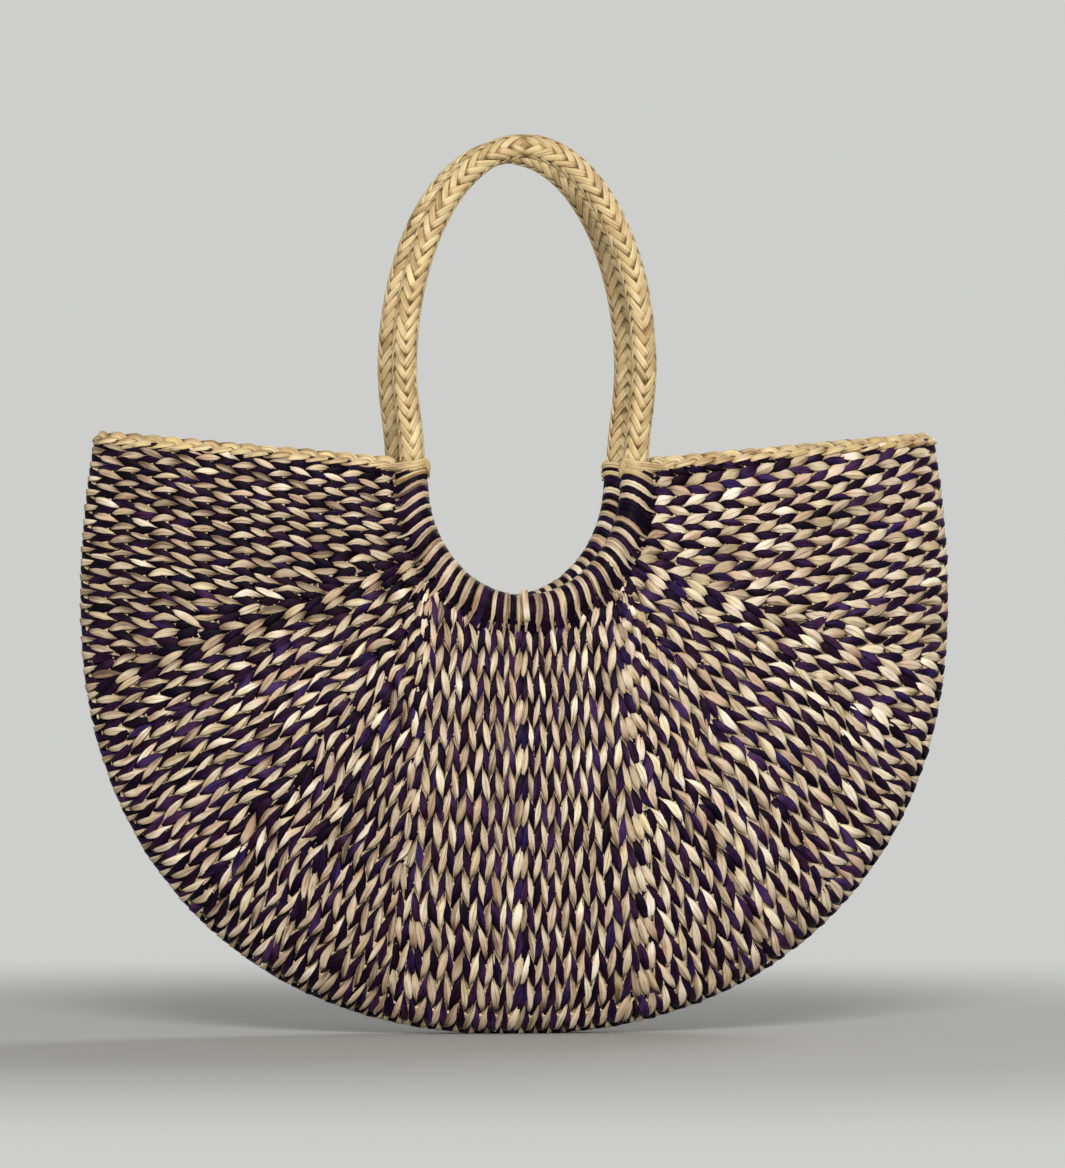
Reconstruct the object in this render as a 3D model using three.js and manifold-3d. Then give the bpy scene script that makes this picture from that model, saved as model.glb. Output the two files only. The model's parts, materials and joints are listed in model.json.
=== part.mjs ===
// A half-moon straw tote bag, in millimetres, standing on its foot: +X to the bag's right, -Y to
// the front, +Z up, with the origin on the floor under the middle of the bag.
// Two panels are twined from straw over stiff rods. The rods run side by side round the hand
// opening, from the rim on the left to the rim on the right, and the straws run across them, out
// to a rod along the edge, where they turn over to the other panel. Each panel carries a handle
// loop: its lower part is the core that the straws wrap round the hand opening, and its upper
// part is a rope core in a plaited sleeve, held by a straw binding at each root.
import * as THREE from "three";
import { mergeVertices } from "three/addons/utils/BufferGeometryUtils.js";
import Module from "manifold-3d";

// Outline of the body, seen from the front.
const bodyHalfWidth = 226.5;
const rimCornerHeight = 305; // top of the weave at the outer corners, below the rim braid
const rimRootHeight = 291; // top of the weave beside the handles
const widestHeight = 224; // where the body is widest
const cornerInset = 7; // the corners lie this far inside the widest place
const edgeSquareness = 2.2; // exponent of the lower edge's superellipse, 2 being an ellipse
const footFlattening = 1; // how much of the lowest course is pressed flat

// Hand opening: the centre line of its wrapped core.
const openingHalfWidth = 58;
const openingBottomHeight = 218.5;
const openingSquareness = 2;

// Section of the body, from front to back.
const mouthHalfDepth = 34; // middle plane to each hand opening's core
const bellyBulge = 9; // more half depth below the hand opening
const sideRoundness = 1.6; // 1 folds the edge sharply, higher numbers round it
const bottomRoundness = 3.2;
const sectionFullness = 2.2;

// Woven wall.
const wallThickness = 7;
const rodCount = 16; // in each panel, without the edge rod
const rodSize = 3.2;
const firstRodShare = 0.03; // place of the innermost rod, as a share of the wall's length to the edge
const lastRodShare = 0.925;
const rodPitchGrowth = 0.015; // each gap between rods is wider than the last by this share
const rodLevelling = 0.085; // lowers the rods at the middle's sides, so that they run level across it
const clearance = 0.3; // between pieces that lie against each other

// Wrapped core of the hand opening, and the handles.
const coreRadius = 6.3;
const wrapRadius = 8.8;
const handleRadius = 6.3;
const ropeRadius = 4;
const handleHalfWidth = 62; // centre line, at its widest
const handleWidestAbove = 48; // above the hinge line
const handleRise = 114; // from there to the top of the centre line
const hingeAboveRim = 4; // the top of the root bindings, which the handles bend over
const footClearance = 0.4; // round each handle's foot
const bindingFloor = 2.3; // straw under each handle's foot
const bindingFlare = 36; // degrees that the binding's mouth lets a handle lean over

// Rim braids.
const braidHalfWidth = 3.6;
const braidHalfHeight = 3.1;

// Facets.
const tubeSides = 8;
const handleSteps = 24;
const latheSides = 16;
const bowlSteps = 4;
const braidSides = 6;
const sectionPlaces = [0, 0.14, 0.34, 0.55, 0.73, 0.86, 0.945, 0.987, 1];
const middlePlace = Math.floor(sectionPlaces.length / 2);

// Lines where more straws are worked in, from the rim to the middle of the bottom: each runs from
// a share of the way round the hand opening to a share of the way round the edge.
const rimLine = { opening: 0, edge: 0 };
const wingLine = { opening: 0.44, edge: 0.295 };
const middleLine = { opening: 0.54, edge: 0.857 };
const bottomLine = { opening: 1, edge: 1 };
const wingSteps = 2;
const fanSteps = 4;
const middleSteps = 2; // from the line to the middle of the bottom

const straw = new THREE.Color(0.72, 0.58, 0.36);
const dyedStraw = new THREE.Color(0.42, 0.34, 0.33); // natural and purple straws, side by side
const rodReed = new THREE.Color(0.66, 0.5, 0.34);
const rope = new THREE.Color(0.6, 0.5, 0.34);

const manifold = await Module();
manifold.setup();

const up = new THREE.Vector3(0, 0, 1);
const halfTurn = Math.PI;
const quarterTurn = Math.PI / 2;

// Half of a round-bottomed outline, from its top corner down to the middle of its bottom. Offset
// moves it outwards by that distance.
class HalfOutline extends THREE.Curve {
  constructor(shape) {
    super();
    Object.assign(this, shape);
    this.arcLengthDivisions = 600;
  }

  plain(t) {
    const straightShare = 0.2;
    if (t < straightShare) {
      const rise = 1 - t / straightShare;
      const x = this.halfWidth - this.topInset * rise * rise;
      return new THREE.Vector2(x, this.shoulderHeight + (this.topHeight - this.shoulderHeight) * rise);
    }
    const angle = ((t - straightShare) / (1 - straightShare)) * quarterTurn;
    const power = 2 / this.squareness;
    const drop = this.shoulderHeight - this.bottomHeight;
    return new THREE.Vector2(
      this.halfWidth * Math.max(Math.cos(angle), 0) ** power,
      this.shoulderHeight - drop * Math.sin(angle) ** power,
    );
  }

  getPoint(t) {
    const step = 1e-3;
    const along = this.plain(Math.min(t + step, 1)).sub(this.plain(Math.max(t - step, 0))).normalize();
    if (t >= 1) along.set(-1, 0);
    return this.plain(t).add(new THREE.Vector2(-along.y, along.x).multiplyScalar(this.offset));
  }
}

const hingeHeight = rimRootHeight + hingeAboveRim;
const bindingDepth = handleRadius + footClearance + bindingFloor;
const bindingBottom = hingeHeight - bindingDepth;
const openingShape = {
  halfWidth: openingHalfWidth,
  topHeight: rimRootHeight,
  topInset: 0,
  shoulderHeight: bindingBottom, // its sides run straight beside the root bindings
  bottomHeight: openingBottomHeight,
  squareness: openingSquareness,
};
const openingCore = new HalfOutline({ ...openingShape, offset: 0 });
const panelInnerEdge = new HalfOutline({ ...openingShape, offset: wrapRadius + clearance });
const panelOuterEdge = new HalfOutline({
  halfWidth: bodyHalfWidth,
  topHeight: rimCornerHeight,
  topInset: cornerInset,
  shoulderHeight: widestHeight,
  bottomHeight: -footFlattening,
  squareness: edgeSquareness,
  offset: -wallThickness / 2,
});

// Stations from the left rim round the bottom to the right rim. Level says how much of the rods'
// levelling each one has.
function stationsBetween(from, to, steps, side, level = () => 0) {
  return Array.from({ length: steps }, (_, i) => ({
    side,
    level: level(i / steps),
    opening: THREE.MathUtils.lerp(from.opening, to.opening, i / steps),
    edge: THREE.MathUtils.lerp(from.edge, to.edge, i / steps),
  }));
}
const sideShare = (rimRootHeight - bindingBottom) / openingCore.getLength();
const bindingLine = { opening: sideShare, edge: (wingLine.edge * sideShare) / wingLine.opening };
const leftStations = [
  { side: -1, level: 0, ...rimLine },
  ...stationsBetween(bindingLine, wingLine, wingSteps, -1),
  ...stationsBetween(wingLine, middleLine, fanSteps, -1, (along) => Math.max(2 * along - 1, 0)),
  ...stationsBetween(middleLine, bottomLine, middleSteps, -1, (along) => (1 - along) ** 2),
];
const rightStations = leftStations.map((station) => ({ ...station, side: 1 })).reverse();
const stations = [...leftStations, { side: 1, level: 0, ...bottomLine }, ...rightStations];

// Half depth of the wall's middle, at a share of the way from the hand opening to the edge.
function halfDepth(edgeShare, outwards) {
  const lowness = THREE.MathUtils.smoothstep(edgeShare, 0, 1);
  const roundness = THREE.MathUtils.lerp(sideRoundness, bottomRoundness, lowness);
  const taper = Math.max(1 - outwards ** sectionFullness, 0) ** (1 / roundness);
  return mouthHalfDepth * taper + bellyBulge * lowness * 4 * outwards * (1 - outwards);
}

// Middle of the front wall. The back wall is its mirror image.
function wallMiddle(station, outwards) {
  const inner = panelInnerEdge.getPointAt(station.opening);
  const outer = panelOuterEdge.getPointAt(station.edge);
  const flat = inner.lerp(outer, outwards);
  return new THREE.Vector3(station.side * flat.x, -halfDepth(station.edge, outwards), flat.y);
}

// Middle, outward normal and outward direction in the wall, at each section place of a station.
function wallSection(index) {
  const station = stations[index];
  const before = stations[Math.max(index - 1, 0)];
  const after = stations[Math.min(index + 1, stations.length - 1)];
  return sectionPlaces.map((place) => {
    const middle = wallMiddle(station, place);
    const around = wallMiddle(after, place).sub(wallMiddle(before, place)).normalize();
    const step = 0.004;
    const outwards = wallMiddle(station, Math.min(place + step, 1))
      .sub(wallMiddle(station, Math.max(place - step, 0)))
      .normalize();
    if (place === 1) {
      outwards.set(0, 1, 0); // the wall turns over the edge rod here
      middle.y = -clearance / 2;
      around.y = 0;
    }
    return { middle, outwards, normal: new THREE.Vector3().crossVectors(outwards, around).normalize() };
  });
}
const wallSections = stations.map((_, index) => wallSection(index));

// The same three at a share of the wall's own length from the hand opening to the edge.
function wallFrame(index, lengthShare) {
  const section = wallSections[index];
  const reached = [0];
  for (let i = 1; i < section.length; i++) {
    reached.push(reached[i - 1] + section[i].middle.distanceTo(section[i - 1].middle));
  }
  const target = lengthShare * reached[section.length - 1];
  const upper = Math.min(Math.max(reached.findIndex((length) => length >= target), 1), section.length - 1);
  const share = lengthShare < 1 ? (target - reached[upper - 1]) / (reached[upper] - reached[upper - 1]) : 1;
  const mix = (key) => section[upper - 1][key].clone().lerp(section[upper][key], share);
  return { middle: mix("middle"), outwards: mix("outwards").normalize(), normal: mix("normal").normalize() };
}

// A closed solid through rings of matching points. Each ring's second half runs back beside its
// first half, and the flat ends are strips between the two.
function loft(rings) {
  const count = rings[0].length;
  const index = [];
  for (let ring = 0; ring < rings.length - 1; ring++) {
    for (let i = 0; i < count; i++) {
      const a = ring * count + i;
      const b = ring * count + ((i + 1) % count);
      index.push(a, b, a + count, b, b + count, a + count);
    }
  }
  const last = (rings.length - 1) * count;
  for (let i = 0; i < count / 2 - 1; i++) {
    const j = count - 1 - i;
    index.push(i, j, i + 1, i + 1, j, j - 1);
    index.push(last + i, last + i + 1, last + j, last + i + 1, last + j - 1, last + j);
  }
  const geometry = new THREE.BufferGeometry();
  geometry.setAttribute("position", new THREE.Float32BufferAttribute(rings.flat().flatMap((p) => p.toArray()), 3));
  geometry.setIndex(index);
  return geometry;
}

function mirrored(geometry) {
  const copy = geometry.clone().scale(1, -1, 1);
  const index = copy.getIndex().array;
  for (let i = 0; i < index.length; i += 3) [index[i], index[i + 1]] = [index[i + 1], index[i]];
  return copy;
}

function solidOf(geometry) {
  const bare = new THREE.BufferGeometry();
  bare.setAttribute("position", geometry.getAttribute("position").clone());
  if (geometry.getIndex()) bare.setIndex(geometry.getIndex());
  const merged = mergeVertices(bare, 1e-4);
  return new manifold.Manifold(
    new manifold.Mesh({
      numProp: 3,
      vertProperties: merged.getAttribute("position").array,
      triVerts: new Uint32Array(merged.getIndex().array),
    }),
  );
}

function geometryOf(solid) {
  const mesh = solid.getMesh();
  const geometry = new THREE.BufferGeometry();
  geometry.setAttribute("position", new THREE.BufferAttribute(new Float32Array(mesh.vertProperties), 3));
  geometry.setIndex(new THREE.BufferAttribute(new Uint32Array(mesh.triVerts), 1));
  return geometry;
}

// The wall between two stations, each end drawn back by half the clearance where it meets a
// neighbour, as a closed shell from the hand opening to the edge.
function wallShell(first, last) {
  const rings = [];
  for (let index = first; index <= last; index++) {
    const inwards = index === first ? 1 : -1;
    const meetsNeighbour = (index === first && first > 0) || (index === last && last < stations.length - 1);
    const shift = new THREE.Vector3();
    if (meetsNeighbour) {
      const beside = wallSections[index + inwards][middlePlace].middle;
      shift.subVectors(beside, wallSections[index][middlePlace].middle).setY(0);
      shift.setLength(clearance / 2);
    }
    const outer = wallSections[index].map(({ middle, normal }) =>
      middle.clone().addScaledVector(normal, wallThickness / 2).add(shift),
    );
    const inner = wallSections[index].map(({ middle, normal }) =>
      middle.clone().addScaledVector(normal, -wallThickness / 2).add(shift),
    );
    rings.push([...outer, ...inner.reverse()]);
  }
  return loft(rings);
}

// A square tube round the wall at one share of its length, levelled across the middle. Overrun
// lengthens both ends.
function rodTube(lengthShare, size, overrun) {
  const levelled = (level) => lengthShare + rodLevelling * level * (1 - lengthShare);
  const frames = stations.map(({ level }, index) => wallFrame(index, levelled(level)));
  const lengthen = (end, beside) => {
    const direction = frames[end].middle.clone().sub(frames[beside].middle).setLength(overrun);
    frames[end] = { ...frames[end], middle: frames[end].middle.clone().add(direction) };
  };
  if (overrun) {
    lengthen(0, 1);
    lengthen(frames.length - 1, frames.length - 2);
  }
  const half = size / 2;
  return loft(
    frames.map(({ middle, outwards: out, normal }) =>
      [[1, -1], [1, 1], [-1, 1], [-1, -1]].map(([a, b]) =>
        middle.clone().addScaledVector(normal, a * half).addScaledVector(out, b * half),
      ),
    ),
  );
}

// Places of the rods, each gap a little wider than the one before it.
function rodPlaces() {
  const reach = (rod) => rod + (rodPitchGrowth * rod * (rod + 1)) / 2;
  const span = Math.max(reach(rodCount - 1), 1);
  return Array.from(
    { length: rodCount },
    (_, rod) => firstRodShare + ((lastRodShare - firstRodShare) * reach(rod)) / span,
  );
}

// A polyline as a curve that a section can be carried along, one step to each stretch.
class Route extends THREE.Curve {
  constructor(points) {
    super();
    this.points = points;
  }

  get steps() {
    return this.points.length - 1;
  }

  getPoint(t) {
    const place = Math.min(t * this.steps, this.steps - 1e-9);
    const index = Math.floor(place);
    return this.points[index].clone().lerp(this.points[index + 1], place - index);
  }

  getPointAt(t) {
    return this.getPoint(t);
  }

  getTangentAt(t) {
    const index = Math.round(t * this.steps);
    const before = this.points[Math.max(index - 1, 0)];
    const after = this.points[Math.min(index + 1, this.steps)];
    return after.clone().sub(before).normalize();
  }
}

function tube(route, radius, boreRadius) {
  const ring = (r) =>
    Array.from({ length: tubeSides }, (_, i) => {
      const angle = ((i + 0.5) / tubeSides) * 2 * halfTurn;
      return new THREE.Vector2(r * Math.cos(angle), r * Math.sin(angle));
    });
  const shape = new THREE.Shape(ring(radius));
  if (boreRadius) shape.holes.push(new THREE.Path(ring(boreRadius)));
  return new THREE.ExtrudeGeometry(shape, { steps: route.steps, extrudePath: route, bevelEnabled: false });
}

const group = new THREE.Group();

function add(name, geometry, colour, roughness, parent = group) {
  const material = new THREE.MeshStandardMaterial({ color: colour, roughness, metalness: 0 });
  const mesh = new THREE.Mesh(geometry, material);
  mesh.name = name;
  parent.add(mesh);
  return mesh;
}

// Woven walls, in the groups of straws that the worked-in lines part them into.
const fanStart = 1 + wingSteps;
const middleStart = fanStart + fanSteps;
const middleEnd = stations.length - 1 - middleStart;
const fanEnd = stations.length - 1 - fanStart;
const strawGroups = {
  left_wing: [0, fanStart],
  left_fan: [fanStart, middleStart],
  middle: [middleStart, middleEnd],
  right_fan: [middleEnd, fanEnd],
  right_wing: [fanEnd, stations.length - 1],
};
const rodBores = [...rodPlaces(), 1].map((place) => solidOf(rodTube(place, rodSize + 2 * clearance, wallThickness)));
const floorBlock = new THREE.BoxGeometry(2 * bodyHalfWidth, 4 * mouthHalfDepth, 2 * wallThickness);
floorBlock.translate(0, 0, -wallThickness);
const belowFloor = solidOf(floorBlock);

for (const [name, [first, last]] of Object.entries(strawGroups)) {
  let wall = solidOf(wallShell(first, last));
  for (const bore of rodBores) wall = wall.subtract(bore);
  if (name === "middle") wall = wall.subtract(belowFloor);
  const front = geometryOf(wall);
  add(`front_${name}_straws`, front, dyedStraw, 0.75);
  add(`back_${name}_straws`, mirrored(front), dyedStraw, 0.75);
}

// Rods of each panel, counted from the hand opening, and the one rod along the edge.
rodPlaces().forEach((place, rod) => {
  const front = rodTube(place, rodSize, 0);
  const number = String(rod + 1).padStart(2, "0");
  add(`front_rod_${number}`, front, rodReed, 0.7);
  add(`back_rod_${number}`, mirrored(front), rodReed, 0.7);
});
const edgeRodFrames = stations.map((_, index) => wallFrame(index, 1));
const edgeRodRings = edgeRodFrames.map(({ middle, normal }) =>
  [[1, -1], [1, 1], [-1, 1], [-1, -1]].map(([a, b]) =>
    middle.clone().setY((b * rodSize) / 2).addScaledVector(normal, (a * rodSize) / 2),
  ),
);
add("edge_rod", loft(edgeRodRings), rodReed, 0.7);

// Wrapped core of each hand opening, up to the root bindings.
const wrapTop = bindingBottom - clearance;
const openingPoints = stations.map(({ side, opening }) => {
  const point = openingCore.getPointAt(opening);
  return new THREE.Vector3(side * point.x, 0, point.y);
});
const openingRoute = new Route(openingPoints);
const bindingsBlock = new THREE.BoxGeometry(3 * openingHalfWidth, 4 * wrapRadius, 2 * bindingDepth);
const bindingsSpace = solidOf(bindingsBlock.translate(0, 0, wrapTop + bindingDepth));
const openingTubes = {
  opening_core: [tube(openingRoute, coreRadius), rope],
  opening_wrap: [tube(openingRoute, wrapRadius, coreRadius + clearance), dyedStraw],
};
for (const [name, [whole, colour]] of Object.entries(openingTubes)) {
  const trimmed = geometryOf(solidOf(whole).subtract(bindingsSpace));
  for (const [face, y] of [["front", -mouthHalfDepth], ["back", mouthHalfDepth]]) {
    add(`${face}_${name}`, trimmed, colour, 0.8).position.y = y;
  }
}

// Straw binding at a handle's root: a cup for the handle's round foot, flared so that the handle
// can lean over.
function rootBinding() {
  const bowlRadius = handleRadius + footClearance;
  const flare = THREE.MathUtils.degToRad(bindingFlare);
  const profile = [new THREE.Vector2(0, -bindingDepth), new THREE.Vector2(wrapRadius, -bindingDepth)];
  profile.push(new THREE.Vector2(wrapRadius, 0), new THREE.Vector2(bowlRadius / Math.cos(flare), 0));
  for (let i = 0; i <= bowlSteps; i++) {
    const angle = THREE.MathUtils.lerp(flare, quarterTurn, i / bowlSteps);
    profile.push(new THREE.Vector2(i < bowlSteps ? bowlRadius * Math.cos(angle) : 0, -bowlRadius * Math.sin(angle)));
  }
  return new THREE.LatheGeometry(profile, latheSides).rotateX(quarterTurn);
}
for (const [face, y] of [["front", -mouthHalfDepth], ["back", mouthHalfDepth]]) {
  for (const [side, x] of [["left", -openingHalfWidth], ["right", openingHalfWidth]]) {
    add(`${face}_${side}_root_binding`, rootBinding(), straw, 0.7).position.set(x, y, hingeHeight);
  }
}

// Rim braids, along the top of each wing from the root binding to the corner, where the front
// and back ones meet.
function rimBraid(stationIndex) {
  const lift = clearance + braidHalfHeight;
  const rings = wallSections[stationIndex].map(({ middle, outwards }) => {
    const across = outwards.clone().setZ(0).normalize().cross(up);
    return Array.from({ length: braidSides }, (_, i) => {
      const angle = ((i + 0.5) / braidSides) * 2 * halfTurn;
      return middle
        .clone()
        .addScaledVector(up, lift + braidHalfHeight * Math.cos(angle))
        .addScaledVector(across, braidHalfWidth * Math.sin(angle));
    });
  });
  return loft(rings);
}
for (const [side, index] of [["left", 0], ["right", stations.length - 1]]) {
  const front = rimBraid(index);
  add(`front_${side}_rim_braid`, front, straw, 0.65);
  add(`back_${side}_rim_braid`, mirrored(front), straw, 0.65);
}

// Handle loop: straight legs that spread a little, under half an ellipse. Drop lengthens the legs.
class HandleLoop extends THREE.Curve {
  constructor(start) {
    super();
    this.start = start;
  }

  getPoint(t) {
    const legShare = 0.15;
    const side = t < 0.5 ? -1 : 1;
    const legPlace = Math.min(t, 1 - t) / legShare;
    if (legPlace < 1) {
      const height = THREE.MathUtils.lerp(this.start, handleWidestAbove, legPlace);
      const spread = THREE.MathUtils.smoothstep(height, 0, handleWidestAbove);
      const x = THREE.MathUtils.lerp(openingHalfWidth, handleHalfWidth, spread);
      return new THREE.Vector3(side * x, 0, height);
    }
    const angle = ((t - legShare) / (1 - 2 * legShare)) * halfTurn;
    const rise = handleWidestAbove + handleRise * Math.sin(angle);
    return new THREE.Vector3(-handleHalfWidth * Math.cos(angle), 0, rise);
  }

  get steps() {
    return handleSteps;
  }
}

function handleRope() {
  const footProfile = [];
  for (let i = bowlSteps; i >= 0; i--) {
    const angle = (i / bowlSteps) * quarterTurn;
    const radius = i < bowlSteps ? handleRadius * Math.cos(angle) : 0;
    footProfile.push(new THREE.Vector2(radius, -handleRadius * Math.sin(angle)));
  }
  footProfile.push(new THREE.Vector2(0, 0));
  const foot = new THREE.LatheGeometry(footProfile, latheSides).rotateX(quarterTurn);
  let solid = solidOf(tube(new HandleLoop(-ropeRadius / 2), ropeRadius));
  for (const x of [-openingHalfWidth, openingHalfWidth]) {
    solid = solid.add(solidOf(foot.clone().translate(x, 0, 0)));
  }
  return geometryOf(solid);
}

for (const [name, y] of [["front", -mouthHalfDepth], ["back", mouthHalfDepth]]) {
  const handle = new THREE.Group();
  handle.position.set(0, y, hingeHeight);
  group.add(handle);
  add(`${name}_handle_rope`, handleRope(), rope, 0.8, handle);
  const sleeve = tube(new HandleLoop(clearance), handleRadius, ropeRadius + clearance);
  add(`${name}_handle_sleeve`, sleeve, straw, 0.65, handle);
}

export default group;
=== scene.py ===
# A half-moon straw tote bag: two panels of twined straw, wrapped hand openings, plaited handles.
# Z is up and the front panel faces -Y. Shapes are worked out in millimetres with numpy and put
# into the meshes in metres.
import json
import math

import bpy
import numpy as np
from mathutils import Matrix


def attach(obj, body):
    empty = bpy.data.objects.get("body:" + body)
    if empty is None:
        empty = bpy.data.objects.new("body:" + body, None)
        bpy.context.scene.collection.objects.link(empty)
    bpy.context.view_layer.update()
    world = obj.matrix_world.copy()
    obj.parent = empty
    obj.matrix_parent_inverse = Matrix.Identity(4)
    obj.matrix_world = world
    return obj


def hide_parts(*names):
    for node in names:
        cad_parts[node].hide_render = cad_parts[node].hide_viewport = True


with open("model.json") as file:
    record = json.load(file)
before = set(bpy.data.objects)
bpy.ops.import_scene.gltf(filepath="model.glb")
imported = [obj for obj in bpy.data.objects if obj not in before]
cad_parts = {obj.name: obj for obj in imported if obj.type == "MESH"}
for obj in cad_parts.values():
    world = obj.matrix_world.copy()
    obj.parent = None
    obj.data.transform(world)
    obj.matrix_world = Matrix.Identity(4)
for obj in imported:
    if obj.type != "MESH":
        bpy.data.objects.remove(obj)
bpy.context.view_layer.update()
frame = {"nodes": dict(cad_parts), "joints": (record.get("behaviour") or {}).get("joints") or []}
millimetre = 0.001
halfTurn = math.pi
draws = np.random.default_rng(24)
faces = {"front": -1, "back": 1}  # and the way along Y that each looks
hingePlace = {j["child"]: np.array(j["pos_m"]) / millimetre for j in frame["joints"]}
print("frame loaded:", len(frame["nodes"]), "nodes")


# Small helpers on whole arrays.
def unit(vectors):
    return vectors / np.maximum(np.linalg.norm(vectors, axis=-1, keepdims=True), 1e-12)


def smoothStep(share):
    share = np.clip(share, 0, 1)
    return share * share * (3 - 2 * share)


def lengthAlong(points):
    # Distance covered from the first point to each point of a path.
    steps = np.linalg.norm(np.diff(points, axis=0), axis=1)
    return np.concatenate(([0], np.cumsum(steps)))


def pointsAt(places, knots, points):
    return np.stack([np.interp(places, knots, column) for column in points.T], -1)


# The body: half outlines from the rim to the middle of the bottom, and the wall between them.
body = {
    "halfWidth": 226.5,
    "cornerHeight": 305,
    "rimRootHeight": 291,
    "widestHeight": 224,
    "cornerInset": 7,
    "squareness": 2.2,
    "footFlattening": 1,
    "openingHalfWidth": 58,
    "openingShoulder": 286,
    "openingBottom": 218.5,
    "openingSquareness": 2,
    "mouthHalfDepth": 34,
    "bellyBulge": 9,
    "sideRoundness": 1.6,
    "bottomRoundness": 3.2,
    "sectionFullness": 2.2,
    "wallThickness": 7,
    "wrapRadius": 8.8,
    "clearance": 0.3,
    "straightShare": 0.2,
}
rods = {"count": 16, "firstShare": 0.03, "lastShare": 0.925, "pitchGrowth": 0.015, "levelling": 0.085}
# Shares of the way round the hand opening and round the edge, at the lines where more straws are
# worked in: rim, wing, fan, middle and bottom. The right half mirrors the left.
openingShares = (0, 0.44, 0.494, 0.54, 1)
edgeShares = (0, 0.295, 0.6, 0.857, 1)
bottomLine = len(edgeShares) - 1
lastLine = 2 * bottomLine
halfLines = range(bottomLine + 1)
edgeRow = rods["count"] + 1
gridPerRow = 16
gridPerLine = 40
outlinePoints = 2001
linePoints = 201


def outline(halfWidth, top, inset, shoulder, bottom, squareness, offset):
    # A side that rises from the shoulder, drawn in at its top by the inset times the rise
    # squared, over a quarter of a superellipse, all moved outwards by the offset.
    t = np.linspace(0, 1, outlinePoints)
    rise = 1 - t / body["straightShare"]
    angle = np.clip(-rise * body["straightShare"] / (1 - body["straightShare"]), 0, 1) * halfTurn / 2
    power = 2 / squareness
    onSide = rise > 0
    x = np.where(onSide, halfWidth - inset * rise**2, halfWidth * np.cos(angle) ** power)
    lower = shoulder - (shoulder - bottom) * np.sin(angle) ** power
    z = np.where(onSide, shoulder + (top - shoulder) * rise, lower)
    points = np.stack((x, z), -1)
    along = unit(np.gradient(points, axis=0))
    along[-1] = (-1, 0)
    points = points + offset * np.stack((-along[:, 1], along[:, 0]), -1)
    reach = lengthAlong(points)
    return reach / reach[-1], points


def openingOutline(offset):
    return outline(
        body["openingHalfWidth"], body["rimRootHeight"], 0, body["openingShoulder"],
        body["openingBottom"], body["openingSquareness"], offset,
    )


def rodShares():
    # Places of the rods as shares of the wall's length, each gap a little wider than the last,
    # with the hand opening's edge before them and the edge rod after them.
    rod = np.arange(rods["count"])
    reach = rod + rods["pitchGrowth"] * rod * (rod + 1) / 2
    span = rods["lastShare"] - rods["firstShare"]
    return np.concatenate(([0], rods["firstShare"] + span * reach / reach[-1], [1]))


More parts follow.
